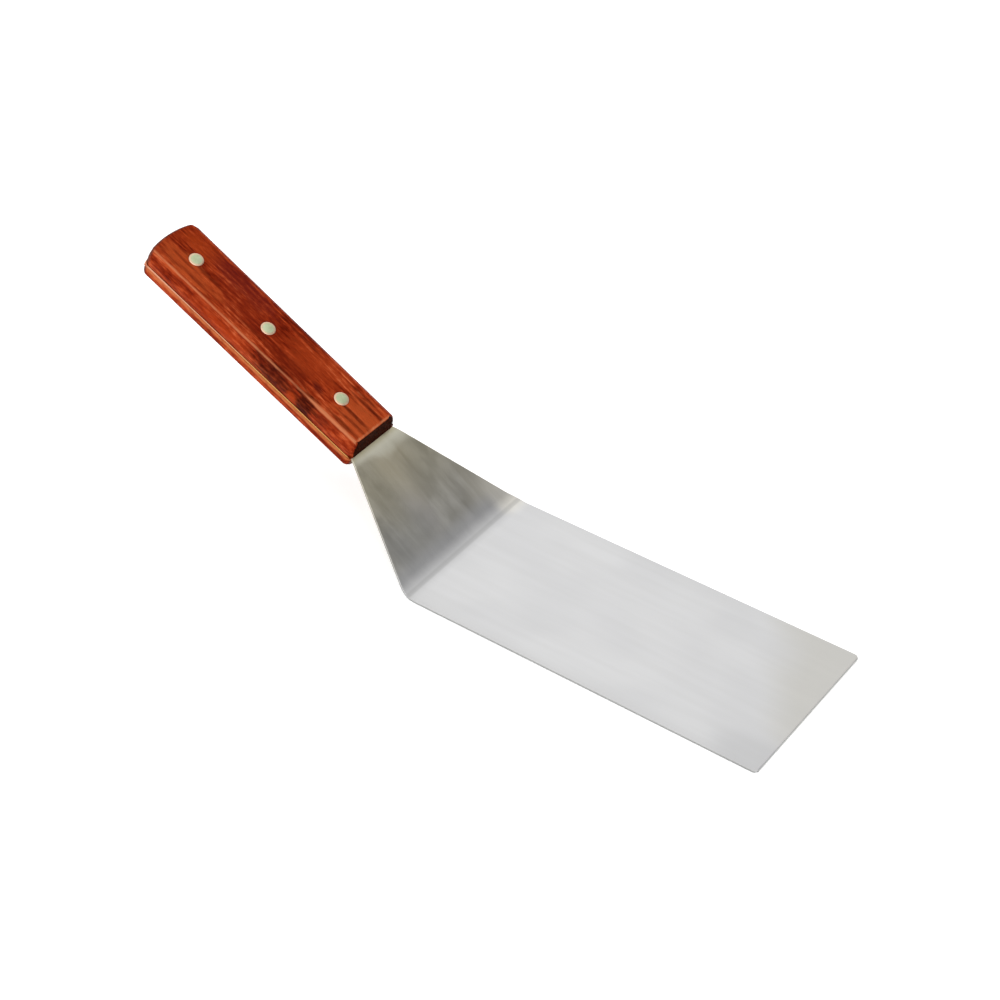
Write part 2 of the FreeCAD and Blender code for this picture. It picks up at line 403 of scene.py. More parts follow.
def sheet_frame(distance):
    """Middle of the sheet at a distance behind the front edge, and the way up from it."""
    place, rise = Vector((BLADE_FRONT, 0, HALF_SHEET)), 0.0
    for length, turn in SHEET_RUNS:
        step = min(distance, length)
        ahead = Vector((-math.cos(rise), 0, math.sin(rise)))
        up = Vector((math.sin(rise), 0, math.cos(rise)))
        turned = turn * step / length
        if turn:
            radius = length / turn
            place = place + ahead * radius * math.sin(turned)
            place = place + up * radius * (1 - math.cos(turned))
        else:
            place = place + ahead * step
        rise += turned
        distance -= step
        if distance <= 0:
            break
    return place, Vector((math.sin(rise), 0, math.cos(rise)))


def arc_drop(radius, run):
    """How far a quarter arc has fallen away from its tangent, a run after they touch."""
    return radius - math.sqrt(max(radius ** 2 - run ** 2, 0.0))


def sheet_half_width(distance):
    """Half the sheet's width: round tip, blade, round heel corner, tapering neck, tang."""
    if distance < TIP_CORNER_RADIUS:
        return BLADE_HALF - arc_drop(TIP_CORNER_RADIUS, TIP_CORNER_RADIUS - distance)
    x = sheet_frame(distance)[0].x
    slope = math.atan2(BLADE_HALF - NECK_EXIT_HALF, -BLADE_FRONT - HANDLE_ORIGIN.x)
    corner_run = HEEL_CORNER_RADIUS * math.tan(slope / 2)
    arc_start = -BLADE_FRONT + corner_run
    arc_end = -BLADE_FRONT - corner_run * math.cos(slope)
    taper = BLADE_HALF + (x + BLADE_FRONT) * math.tan(slope)
    if x > arc_start:
        return BLADE_HALF
    if x > arc_end:
        return BLADE_HALF - arc_drop(HEEL_CORNER_RADIUS, x - arc_start)
    into_wood = distance - WOOD_START
    if into_wood < 0:
        return taper
    corner = UPPER_FRONT_ROUNDING[0]
    rounding = arc_drop(corner, max(corner - into_wood, 0.0))
    return max(taper, handle_half_width(into_wood) - rounding)


def sheet_wave(distance, y):
    """Slight unevenness of rolled sheet, from 0 to WAVE_HEIGHT, which fades before the wood."""
    fade = min(max((WOOD_START - distance) / WAVE_FADE, 0.0), 1.0)
    short_wave = math.sin(distance / 23.0 + 0.6) * math.sin(y / 17.0 + 1.1)
    long_wave = LONG_WAVE_SHARE * math.sin(distance / 41.0 + y / 29.0)
    full = 1 + LONG_WAVE_SHARE
    return WAVE_HEIGHT * fade * (full + short_wave + long_wave) / (2 * full)


def sheet_section(half):
    """Section of the sheet: a thin bar with eased edges."""
    left = [((-half, z), SHEET_EASE, EASE_STEPS) for z in (-HALF_SHEET, HALF_SHEET)]
    right = [((half, z), SHEET_EASE, EASE_STEPS) for z in (HALF_SHEET, -HALF_SHEET)]
    return outline_loop(left + right, SHEET_COLUMNS)


def spread(start, end, step):
    """Even distances from start to end, about a step apart."""
    count = max(1, round((end - start) / step))
    return [start + (end - start) * k / count for k in range(count)]


def sheet_stations():
    """Distances of the sheet's sections: close together where it bends or its outline turns."""
    heel_start = BLADE_RUN - BEND_MARGIN
    heel_end = BLADE_RUN + HEEL_ARC + BEND_MARGIN
    neck_bend = BEFORE_TANG - NECK_ARC
    in_wood = WOOD_START + WOOD_CORNER_RUN
    tip_corner = [TIP_CORNER_RADIUS * (1 - math.cos(math.radians(turn))) for turn in TIP_TURNS]
    return (
        tip_corner
        + spread(TIP_CORNER_RADIUS, heel_start, FLAT_STEP)
        + spread(heel_start, heel_end, BEND_STEP)
        + spread(heel_end, neck_bend, NECK_STEP)
        + spread(neck_bend, WOOD_START, BEND_STEP)
        + spread(WOOD_START, in_wood, WOOD_CORNER_STEP)
        + spread(in_wood, WOOD_START + BODY_END, FLAT_STEP)
    )


def blade_sheet(material):
    """Blade, neck and tang: one bent sheet with eased edges."""
    loops = []
    tip_half = sheet_half_width(SHEET_EASE)
    for angle in reversed(END_ANGLES):
        eased = 1 - SHEET_EASE * (1 - math.cos(angle)) / HALF_SHEET
        distance = SHEET_EASE * (1 - math.sin(angle))
        loops.append([(distance, y, z * eased) for y, z, _, _ in sheet_section(tip_half)])
    for distance in sheet_stations():
        section = sheet_section(sheet_half_width(distance))
        loops.append([(distance, y, z) for y, z, _, _ in section])
    rounding = (BUTT_ROUNDING[0], SHEET_EASE)
    for angle in END_ANGLES:
        rounded = [
            end_point(point, HALF_WIDTH_BUTT, -HALF_SHEET, HALF_SHEET, rounding, angle, butt_at)
            for point in sheet_section(HALF_WIDTH_BUTT)
        ]
        loops.append([(WOOD_START + HANDLE_LENGTH - along, y, z) for along, y, z in rounded])
    points = []
    for loop in loops:
        for distance, y, z in loop:
            place, up = sheet_frame(distance)
            points.append(place + ACROSS * y + up * (z + sheet_wave(distance, y)))
    caps = end_caps(len(loops[0]), SHEET_SIDE_POINTS, SHEET_COLUMNS, 0, len(loops) - 1)
    piece = new_object("blade_look", points, skin(loops) + caps)
    cut_bores(piece, TANG_HOLE_RADIUS, -SHEET, SHEET)
    finish_piece(piece, material, ["blade_and_tang"])


def lathe(name, x, profile):
    """Turned piece at x in the handle, from (radius, height) points from axis to axis."""
    points = []
    for radius, height in profile:
        for k in range(LATHE_SEGMENTS):
            angle = 2 * math.pi * k / LATHE_SEGMENTS
            along, across = radius * math.cos(angle), radius * math.sin(angle)
            points.append(in_handle(x + along, across, height))
    return new_object(name, points, skin([range(LATHE_SEGMENTS)] * len(profile)))


def crown_height(radius):
    """Height of a rivet head's crowned face at a distance from its middle."""
    return FACE_HEIGHT + HEAD_CROWN * (1 - (radius / HEAD_RADIUS) ** 2)


def head_profile(direction):
    """Crowned rivet head, middle to underside, for an upper (1) or a lower (-1) head."""
    rim = HEAD_RADIUS - HEAD_BEVEL
    crown = [rim * step / CROWN_STEPS for step in range(CROWN_STEPS + 1)]
    profile = [(radius, crown_height(radius)) for radius in crown]
    for step in range(1, BEVEL_STEPS + 1):
        angle = math.radians(90 * step / BEVEL_STEPS)
        height = crown_height(rim) - HEAD_BEVEL * (1 - math.cos(angle))
        profile.append((rim + HEAD_BEVEL * math.sin(angle), height))
    profile.append((HEAD_RADIUS, FACE_HEIGHT - HEAD_THICKNESS))
    return [(radius, direction * height) for radius, height in profile]


def rivets(material):
    """Tube and pin halves of the three compression rivets."""
    head_base = FACE_HEIGHT - HEAD_THICKNESS
    tube = head_profile(1) + [
        (SHANK_RADIUS, head_base),
        (SHANK_RADIUS, END_GAP - head_base),
        (PIN_RADIUS, END_GAP - head_base),
        (PIN_RADIUS, head_base),
        (0, head_base),
    ]
    pin = head_profile(-1) + [
        (PIN_RADIUS, -head_base),
        (PIN_RADIUS, head_base - END_GAP - PIN_CHAMFER),
        (PIN_RADIUS - PIN_CHAMFER, head_base - END_GAP),
        (0, head_base - END_GAP),
    ]
    for place, x in RIVET_POSITIONS.items():
        for kind, profile in (("tube", tube), ("pin", pin)):
            node = "rivet_" + kind + "_" + place
            piece = lathe(node + "_look", x, profile)
            finish_piece(piece, material, [node])


# ---------------------------------------------------------------- materials

def set_range(node, low, high, out_low, out_high):
    """Both ranges of a Map Range node."""
    names = ("From Min", "From Max", "To Min", "To Max")
    for name, number in zip(names, (low, high, out_low, out_high)):
        node.inputs[name].default_value = number


class Nodes:
    """Short calls for building one material's node tree."""

    def __init__(self, name):
        self.material = bpy.data.materials.new(name)
        self.material.use_nodes = True
        self.tree = self.material.node_tree
        self.shader = self.tree.nodes["Principled BSDF"]

    def add(self, kind, **settings):
        """New node with its settings."""
        node = self.tree.nodes.new(kind)
        for key, value in settings.items():
            setattr(node, key, value)
        return node

    def feed(self, socket, value):
        """Links a socket to a node's output, or sets it to a constant."""
        if isinstance(value, bpy.types.NodeSocket):
            self.tree.links.new(value, socket)
        else:
            socket.default_value = value

    def math(self, operation, first, second=0.0):
        node = self.add("ShaderNodeMath", operation=operation)
        self.feed(node.inputs[0], first)
        self.feed(node.inputs[1], second)
        return node.outputs[0]

    def vector(self, operation, first, second):
        node = self.add("ShaderNodeVectorMath", operation=operation)
        self.feed(node.inputs[0], first)
        self.feed(node.inputs[1], second)
        return node.outputs["Value"] if operation in ("DOT_PRODUCT", "LENGTH") else node.outputs[0]

    def total(self, *terms):
        """Sum of (value, weight) terms."""
        result = None
        for value, weight in terms:
            term = value if weight == 1 else self.math("MULTIPLY", value, weight)
            result = term if result is None else self.math("ADD", result, term)
        return result

    def ramp(self, factor, stops):
        """Colour ramp through (place, colour) stops."""
        node = self.add("ShaderNodeValToRGB")
        elements = node.color_ramp.elements
        while len(elements) < len(stops):
            elements.new(0.5)
        for element, (place, colour) in zip(elements, stops):
            element.position = place
            element.color = (*colour, 1.0)
        self.feed(node.inputs["Fac"], factor)
        return node.outputs["Color"]

    def mix(self, factor, first, second, blend="MIX"):
        """The first colour, turning into the second as the factor goes from 0 to 1."""
        node = self.add("ShaderNodeMix", data_type="RGBA", blend_type=blend)
        self.feed(node.inputs["Factor"], factor)
        for socket, value in ((node.inputs[6], first), (node.inputs[7], second)):
            self.feed(socket, value if isinstance(value, bpy.types.NodeSocket) else (*value, 1.0))
        return node.outputs[2]

    def span(self, value, low, high, out_low=0.0, out_high=1.0):
        """Smooth step from out_low to out_high while the value goes from low to high."""
        node = self.add("ShaderNodeMapRange", interpolation_type="SMOOTHSTEP")
        self.feed(node.inputs["Value"], value)
        set_range(node, low, high, out_low, out_high)
        return node.outputs["Result"]

    def noise(self, place, size, detail=2.0, roughness=0.5, distortion=0.0, shift=(0, 0, 0)):
        """Noise whose grains are about size millimetres along each axis."""
        mapping = self.add("ShaderNodeMapping")
        mapping.inputs["Scale"].default_value = tuple(1 / length for length in size)
        mapping.inputs["Location"].default_value = shift
        self.feed(mapping.inputs["Vector"], place)
        node = self.add("ShaderNodeTexNoise")
        self.feed(node.inputs["Vector"], mapping.outputs["Vector"])
        node.inputs["Scale"].default_value = 1.0
        node.inputs["Detail"].default_value = detail
        node.inputs["Roughness"].default_value = roughness
        node.inputs["Distortion"].default_value = distortion
        return node.outputs["Fac"]

    def place_in(self, origin, x_axis, y_axis, z_axis):
        """Object coordinates in millimetres in a frame of their own."""
        coordinates = self.add("ShaderNodeTexCoord").outputs["Object"]
        scaled = self.vector("SCALE", coordinates, (0, 0, 0))
        scaled.node.inputs["Scale"].default_value = 1 / MM
        moved = self.vector("SUBTRACT", scaled, tuple(origin))
        combined = self.add("ShaderNodeCombineXYZ")
        for index, axis in enumerate((x_axis, y_axis, z_axis)):
            self.feed(combined.inputs[index], self.vector("DOT_PRODUCT", moved, tuple(axis)))
        return combined.outputs[0]

    def place_in_row(self):
        """Millimetres in the frame of the row."""
        return self.place_in((0, 0, 0), (1, 0, 0), ACROSS, (0, 0, 1))

    def place_in_handle(self):
        """Millimetres in the handle's frame."""
        return self.place_in(HANDLE_ORIGIN, HANDLE_AXIS, ACROSS, HANDLE_NORMAL)

    def split(self, place):
        """The x, y and z of a place."""
        node = self.add("ShaderNodeSeparateXYZ")
        self.feed(node.inputs[0], place)
        return node.outputs["X"], node.outputs["Y"], node.outputs["Z"]

    def facing(self, axis):
        """Cosine between the surface's normal and an axis."""
        normal = self.add("ShaderNodeNewGeometry").outputs["Normal"]
        return self.vector("DOT_PRODUCT", normal, tuple(axis))

    def patch(self, place, centre, radii, blur, wobble=None, amount=0.0):
        """1 inside a soft ellipsoid, falling to 0 at its edge, its outline shaken by a noise."""
        offset = self.vector("SUBTRACT", place, centre)
        scaled = self.vector("DIVIDE", offset, radii)
        length = self.vector("LENGTH", scaled, (0, 0, 0))
        if wobble is not None:
            length = self.total((length, 1), (self.math("SUBTRACT", wobble, 0.5), amount))
        return self.span(length, 1.0 - blur, 1.0 + blur, 1.0, 0.0)

    def bump(self, height, strength, distance):
        """Normal that follows a height, with the distance in metres."""
        node = self.add("ShaderNodeBump")
        node.inputs["Strength"].default_value = strength
        node.inputs["Distance"].default_value = distance
        self.feed(node.inputs["Height"], height)
        return node.outputs["Normal"]

    def set(self, **values):
        """Feeds the shader's sockets, named with underscores for spaces."""
        for name, value in values.items():
            self.feed(self.shader.inputs[name.replace("_", " ")], value)


# A patch's radius in a direction in which it has no limit, and where the painted shade along the
# heel's crease lies
ENDLESS = 1000.0
CREASE_X = -81.2

# (x, y) centre and radii on the neck, colour and amount of the larger clouds, which are tarnish
# and painted reflection
NECK_TARNISH_AND_REFLECTION_CLOUDS = [
    ((-100.0, -4.5), (9.0, 6.0), (0.60, 0.58, 0.57), 0.60),
    ((-121.0, 1.0), (15.0, 9.0), (0.70, 0.66, 0.58), 0.70),
    ((-94.0, -14.0), (10.0, 9.0), (0.42, 0.42, 0.40), 0.55),
    ((-96.0, -25.0), (9.0, 6.0), (0.38, 0.38, 0.37), 0.60),
    ((-109.0, 7.0), (9.0, 5.5), (0.40, 0.385, 0.34), 0.60),
    ((-108.0, -15.0), (9.0, 5.5), (0.42, 0.40, 0.34), 0.50),
    ((-101.0, 16.0), (8.0, 5.0), (0.42, 0.40, 0.35), 0.45),
    ((-88.0, 27.0), (13.0, 7.0), (0.62, 0.59, 0.51), 0.70),
]


def blade_tone(n, place, cloud):
    """The blade's colour: faint clouds, darker sides, a warmer tip that is a painted reflection,
    and one darker corner.
    """
    along, y, _ = n.split(place)
    tone = n.mix(n.span(cloud, 0.35, 0.65), (0.575, 0.575, 0.580), (0.605, 0.605, 0.608))
    sides = n.span(n.math("ABSOLUTE", y), 31.0, 38.0, 0.0, 0.5)
    tone = n.mix(sides, tone, (0.55, 0.55, 0.55))
    # Painted reflection: the blade turns warmer towards its tip
    tip = n.span(n.total((along, 1), (y, 0.5), (cloud, 24.0)), 68.0, 92.0, 0.0, 0.85)
    tone = n.mix(tip, tone, (0.515, 0.505, 0.472))
    corner = n.patch(place, (80.0, -34.0, 0.0), (17.0, 10.0, ENDLESS), 0.6, cloud, 1.0)
    return n.mix(n.math("MULTIPLY", corner, 0.7), tone, (0.49, 0.49, 0.495))


def neck_tone(n, place, blotch):
    """The neck's colour: blotches of tarnish and painted reflection, and a painted warm reflection
    of the wood near it.
    """
    along = n.split(place)[0]
    # Blotches of tarnish and painted reflection
    dull = n.mix(n.span(blotch, 0.30, 0.66), (0.43, 0.415, 0.37), (0.60, 0.585, 0.54))
    for centre, radii, tint, amount in NECK_TARNISH_AND_REFLECTION_CLOUDS:
        inside = n.patch(place, (*centre, 0.0), (*radii, ENDLESS), 0.6, blotch, 1.2)
        dull = n.mix(n.math("MULTIPLY", inside, amount), dull, tint)
    # Painted reflection: the wood's warm colour on the neck towards the wood
    painted_wood_reflection = n.span(along, -90.0, -121.0, 0.0, 0.85)
    return n.mix(painted_wood_reflection, dull, (0.96, 0.905, 0.72), "MULTIPLY")


def tang_tone(n, in_wood):
    """The tang's edges between the scales: tan, turning orange, with painted highlights: paler
    towards the butt and a bright line along the top.
    """
    x, _, z = n.split(in_wood)
    grain = n.noise(in_wood, (7, 0.6, 0.6), detail=2.0)
    mottled = n.span(grain, 0.3, 0.7)
    tan = n.mix(mottled, (0.33, 0.112, 0.030), (0.46, 0.182, 0.064))
    orange = n.mix(mottled, (0.34, 0.085, 0.028), (0.46, 0.142, 0.060))
    tan = n.mix(n.span(x, 52.0, 72.0), tan, orange)
    # Painted highlight: paler towards the butt
    tan = n.mix(n.span(x, 86.0, 108.0), tan, (0.60, 0.25, 0.150))
    # Painted highlight along the tang's upper edge
    painted_glint = n.mix(n.span(x, 50.0, 80.0), (0.67, 0.34, 0.105), (0.73, 0.365, 0.220))
    upper_edge = n.span(n.total((z, 1), (grain, 0.5)), 0.25, 0.55, 0.0, 0.9)
    return n.mix(upper_edge, tan, painted_glint)


def steel_material():
    """Brushed stainless sheet, with the brushing along the spatula."""
    n = Nodes("brushed_stainless")
    place = n.place_in_row()
    along, y, _ = n.split(place)
    fine = n.noise(place, (22, 0.3, 22), detail=3.0, roughness=0.6)
    streak = n.noise(place, (60, 3.5, 60), detail=2.0)
    cloud = n.noise(place, (42, 30, 42), detail=1.5, shift=(3.1, 0.4, 0.0))
    blotch = n.noise(place, (13, 9, 13), detail=2.5, roughness=0.55, shift=(0.0, 2.3, 0.0))
    on_neck = n.span(along, -86.0, -93.0)
    tone = n.mix(on_neck, blade_tone(n, place, cloud), neck_tone(n, place, blotch))
    # A painted highlight band before the wood, narrower on the near side, and painted shade right
    # at the wood
    near_side = n.math("MINIMUM", y, 0.0)
    highlight_band = n.total((along, 1), (near_side, -0.22), (blotch, 5.0))
    tone = n.mix(n.span(highlight_band, -117.6, -121.6, 0.0, 0.85), tone, (0.92, 0.89, 0.73))
    tone = n.mix(n.span(along, -125.2, -127.8), tone, (0.77, 0.73, 0.61), "MULTIPLY")
    # Painted highlight at the neck's far rim
    far_rim_highlight = n.patch(place, (-88.0, 36.0, 0.0), (9.0, 9.0, ENDLESS), 0.6, blotch, 0.6)
    tone = n.mix(n.math("MULTIPLY", far_rim_highlight, 0.7), tone, (0.95, 0.91, 0.81))
    # Painted shade: a dark line along the heel's crease
    from_crease = n.math("ABSOLUTE", n.math("SUBTRACT", along, CREASE_X))
    tone = n.mix(n.span(from_crease, 0.4, 1.5, 0.30, 0.0), tone, (0.25, 0.25, 0.24))
    # Brushing, then the darker cut edges
    tone = n.mix(n.span(streak, 0.3, 0.7, 0.0, 0.08), tone, (0.46, 0.455, 0.44))
    tone = n.mix(n.span(fine, 0.25, 0.75, 0.0, 0.08), tone, (0.70, 0.70, 0.71))
    edge = n.span(n.math("ABSOLUTE", n.facing(ACROSS)), 0.5, 0.9)
    edge = n.math("MAXIMUM", edge, n.span(n.facing((1, 0, 0)), 0.75, 0.95))
    tone = n.mix(n.math("MULTIPLY", edge, 0.75), tone, (0.34, 0.34, 0.33))
    in_wood = n.place_in_handle()
    lacquered = n.span(n.split(in_wood)[0], 0.0, 0.8)
    n.set(
        Base_Color=n.mix(lacquered, tone, tang_tone(n, in_wood)),
        Metallic=n.math("SUBTRACT", 1.0, lacquered),
        Specular_IOR_Level=0.0,
        Roughness=n.span(n.total((fine, 1), (streak, 0.5)), 0.5, 1.0, 0.32, 0.42),
        Normal=n.bump(n.total((fine, 1), (cloud, 1)), 0.10, 0.00003),
    )
    return n.material


# Figures thinner than this across the grain are shaken less by the noise than broad ones.
THIN_FIGURE = 1.3
THIN_SHAKE = 1.3
BROAD_SHAKE = 2.0

# Centre and radii in the handle's frame, blur, colour and amount of the wood's larger figures
WOOD_FIGURES = [
    ((84.0, 7.0, FACE_HEIGHT), (20.0, 4.6, 4.0), 0.35, (0.120, 0.009, 0.0060), 0.75),
    ((76.0, -1.0, FACE_HEIGHT), (15.0, 7.0, 4.0), 0.45, (0.165, 0.013, 0.0035), 0.60),
    ((45.0, -6.5, FACE_HEIGHT), (13.0, 4.6, 2.5), 0.40, (0.125, 0.010, 0.0022), 0.80),
    ((104.0, -6.5, FACE_HEIGHT), (17.0, 5.0, 3.0), 0.35, (0.46, 0.078, 0.0180), 0.65),
    ((110.0, 6.0, FACE_HEIGHT), (10.0, 5.0, 3.0), 0.45, (0.33, 0.040, 0.0060), 0.50),
    ((40.0, 3.0, FACE_HEIGHT), (16.0, 7.0, 3.0), 0.40, (0.30, 0.036, 0.0070), 0.55),
    ((10.0, -1.0, FACE_HEIGHT), (12.0, 9.5, 3.0), 0.30, (0.46, 0.082, 0.0200), 0.65),
    ((30.5, -5.0, FACE_HEIGHT), (3.2, 1.9, 2.0), 0.50, (0.060, 0.004, 0.0030), 0.80),
    ((9.5, 6.2, FACE_HEIGHT), (11.0, 0.9, 2.0), 0.45, (0.080, 0.006, 0.0012), 0.90),
    ((17.0, 8.6, FACE_HEIGHT), (9.0, 0.8, 2.0), 0.45, (0.080, 0.006, 0.0012), 0.80),
    ((12.0, -1.8, FACE_HEIGHT), (8.0, 0.8, 2.0), 0.45, (0.070, 0.005, 0.0010), 0.90),
    ((10.0, -5.2, FACE_HEIGHT), (9.0, 0.7, 2.0), 0.45, (0.090, 0.008, 0.0015), 0.85),
    ((13.0, -9.0, FACE_HEIGHT), (8.0, 1.1, 2.0), 0.50, (0.085, 0.008, 0.0015), 0.75),
    ((50.0, 9.0, FACE_HEIGHT), (9.0, 0.8, 2.0), 0.50, (0.095, 0.007, 0.0015), 0.70),
    ((66.0, -6.5, FACE_HEIGHT), (7.0, 0.9, 2.0), 0.50, (0.095, 0.007, 0.0015), 0.70),
    ((97.0, -2.2, FACE_HEIGHT), (8.0, 0.8, 2.0), 0.50, (0.110, 0.009, 0.0020), 0.75),
    ((107.0, -4.6, FACE_HEIGHT), (9.0, 0.7, 2.0), 0.50, (0.130, 0.011, 0.0020), 0.75),
    ((99.0, -8.0, FACE_HEIGHT), (9.0, 0.8, 2.0), 0.50, (0.120, 0.010, 0.0020), 0.75),
    ((113.0, -9.0, FACE_HEIGHT), (6.0, 0.7, 2.0), 0.50, (0.120, 0.010, 0.0020), 0.70),
    ((20.0, -13.5, 4.6), (4.0, 1.6, 2.6), 0.50, (0.110, 0.010, 0.0035), 0.75),
    ((29.0, -13.2, 5.0), (6.0, 3.8, 5.0), 0.35, (0.030, 0.0022, 0.0005), 0.97),
    ((47.0, -13.2, 5.0), (12.0, 3.8, 5.0), 0.40, (0.036, 0.0026, 0.0008), 0.95),
    ((35.5, -14.4, 2.6), (2.8, 2.0, 2.6), 0.50, (0.36, 0.040, 0.0060), 0.85),
    ((78.0, -14.3, 3.6), (14.0, 2.5, 3.0), 0.50, (0.38, 0.040, 0.0060), 0.55),
]


def painted_ridge_highlight(n, place, flow, roughened):
    """1 where a painted highlight lies, along the near ridge and the upper scale's front."""
    along, y, height = n.split(place)
    ridge = n.total((along, RIDGE_SPREAD), (y, 1))
    ridge = n.math("ABSOLUTE", n.math("ADD", ridge, HALF_FLAT_FRONT))
    ridge = n.math("SUBTRACT", ridge, n.span(along, 24.0, 34.0, 0.45, 0.0))
    front = n.math("ABSOLUTE", n.math("SUBTRACT", along, UPPER_FRONT_SETBACK + 0.1))
    below_face = n.math("SUBTRACT", FACE_HEIGHT, n.math("ABSOLUTE", height))
    rim = n.total((n.math("MINIMUM", ridge, front), 1), (below_face, 1), (roughened, 1.1))
    ridge_highlight = n.span(rim, 0.95, 2.15, 0.80, 0.0)
    return n.math("MULTIPLY", ridge_highlight, n.span(flow, 0.35, 0.55, 0.45, 1.0))


def end_grain(n, place, height, colour):
    """The front end, dark as end grain and with painted shade, brownish on the lower scale, and
    the duller butt, over a colour.
    """
    noise = n.noise(place, (2.0, 0.9, 0.9), detail=3.0)
    tone = n.mix(n.span(noise, 0.3, 0.7), (0.010, 0.0015, 0.0006), (0.038, 0.006, 0.0018))
    tone = n.mix(n.span(height, -0.6, -0.1, 0.9, 0.0), tone, (0.150, 0.062, 0.042))
    # The front end's darkness is end grain together with painted shade
    front_end = n.span(n.facing(0.35 * ACROSS - HANDLE_AXIS), 0.60, 0.74)
    butt_end = n.span(n.facing(HANDLE_AXIS), 0.15, 0.75, 0.0, 0.8)
    return n.mix(butt_end, n.mix(front_end, colour, tone), (0.085, 0.034, 0.024))


def wood_material():
    """Lacquered red-brown hardwood with its grain along the handle."""
    n = Nodes("lacquered_rosewood")
    place = n.place_in_handle()
    height = n.split(place)[2]
    flow = n.noise(place, (44, 6.5, 6.5), detail=2.0, distortion=0.5)
    streak = n.noise(place, (15, 1.1, 1.3), detail=3.0, roughness=0.6, distortion=0.35)
    mottle = n.noise(place, (3.6, 1.3, 1.3), detail=2.0, shift=(0.0, 3.0, 0.0))
    fibre = n.noise(place, (5, 0.28, 0.28), detail=3.0, roughness=0.65)
    figure = n.total((flow, 0.32), (streak, 0.32), (fibre, 0.16), (mottle, 0.20))
    colour = n.ramp(figure, [
        (0.38, (0.070, 0.004, 0.0006)),
        (0.44, (0.140, 0.009, 0.0014)),
        (0.50, (0.240, 0.023, 0.0042)),
        (0.56, (0.375, 0.051, 0.0125)),
        (0.62, (0.530, 0.120, 0.0420)),
    ])
    wobble = n.noise(place, (7, 1.5, 1.6), detail=2.5, shift=(5.0, 1.0, 0.0))
    grain = n.span(n.total((streak, 0.5), (mottle, 0.5)), 0.34, 0.66)
    for centre, radii, blur, tint, amount in WOOD_FIGURES:
        shaken = THIN_SHAKE if radii[1] < THIN_FIGURE else BROAD_SHAKE
        inside = n.patch(place, centre, radii, blur, wobble, shaken)
        lively = n.mix(n.math("MULTIPLY", grain, 0.35), tint, colour)
        colour = n.mix(n.math("MULTIPLY", inside, amount), colour, lively)
    pores = n.noise(place, (3.2, 0.16, 0.2), detail=2.0, roughness=0.5, shift=(0.0, 7.0, 0.0))
    colour = n.mix(n.span(pores, 0.58, 0.72, 0.0, 0.6), colour, (0.050, 0.004, 0.0010))
    # Painted shade above the tang, and a painted highlight below it
    seam = n.math("MULTIPLY", n.span(height, 0.75, 1.35, 0.6, 0.0), n.span(height, -0.1, 0.1))
    colour = n.mix(seam, colour, (0.045, 0.006, 0.001))
    painted_highlight_below_tang = n.math("MULTIPLY", n.span(height, -2.5, -1.5), n.span(height, -0.3, 0.0, 1.0, 0.0))
    painted_highlight_below_tang = n.math("MULTIPLY", painted_highlight_below_tang, n.span(mottle, 0.25, 0.6, 0.45, 0.95))
    colour = n.mix(painted_highlight_below_tang, colour, (0.50, 0.140, 0.045))
    # Painted highlight, light orange, along the near ridge and the upper scale's front top edge
    ridge_highlight = painted_ridge_highlight(n, place, flow, n.math("ADD", streak, mottle))
    colour = n.mix(ridge_highlight, colour, (0.56, 0.185, 0.080))
    n.set(
        Base_Color=end_grain(n, place, height, colour),
        Roughness=n.span(fibre, 0.3, 0.7, 0.45, 0.58),
        Specular_IOR_Level=0.0,
        Coat_Weight=0.12,
        Coat_Roughness=0.16,
        Coat_IOR=1.32,
        Normal=n.bump(n.total((fibre, 1), (pores, -0.6)), 0.25, 0.00005),
        Coat_Normal=n.bump(n.noise(place, (9, 2.2, 2.2), detail=2.0), 0.18, 0.0001),
    )
    return n.material


# Further from a rivet's axis than any point of the rivet
BEYOND_RIVET = 10.0


def rivet_material():
    """Nickel silver, a little tarnished, with a painted highlight at the rim."""
    n = Nodes("nickel_silver")
    place = n.place_in_handle()
    speck = n.noise(place, (0.8, 0.8, 0.8), detail=3.0)
    cloud = n.noise(place, (3.0, 3.0, 3.0), detail=2.0)
    tone = n.mix(n.span(cloud, 0.35, 0.65), (0.57, 0.63, 0.39), (0.66, 0.72, 0.48))
    tone = n.mix(n.span(speck, 0.35, 0.7, 0.0, 0.25), tone, (0.46, 0.52, 0.34))
    along, y, _ = n.split(place)
    nearest = BEYOND_RIVET ** 2
    for x in RIVET_POSITIONS.values():
        from_axis = n.math("POWER", n.math("SUBTRACT", along, x), 2.0)
        nearest = n.math("MINIMUM", nearest, from_axis)
    radius = n.math("SQRT", n.math("ADD", nearest, n.math("POWER", y, 2.0)))
    # Painted highlight: each head's rim lighter and warmer, as if its bevel caught the light
    tone = n.mix(n.span(radius, HEAD_RADIUS - 1.2, HEAD_RADIUS - 0.4), tone, (0.80, 0.55, 0.385))
    n.set(
        Base_Color=tone,
        Metallic=1.0,
        Roughness=n.span(speck, 0.3, 0.7, 0.34, 0.46),
        Normal=n.bump(speck, 0.15, 0.00004),
    )
    return n.material


def floor_material():
    """Pale matt floor with faint, wide clouds, glowing a little of itself as painted light that
    washes out shadows.
    """
    n = Nodes("pale_floor")
    cloud = n.noise(n.place_in_row(), (400, 400, 400))
    tone = n.mix(cloud, (0.925, 0.925, 0.925), (0.935, 0.935, 0.935))
    n.set(Base_Color=tone, Roughness=0.9, Specular_IOR_Level=0.0)
    # Painted light: the floor glows, which washes out shadows cast on it
    n.set(Emission_Color=(1.0, 1.0, 1.0, 1.0), Emission_Strength=0.3)
    return n.material


# ---------------------------------------------------------------- stage

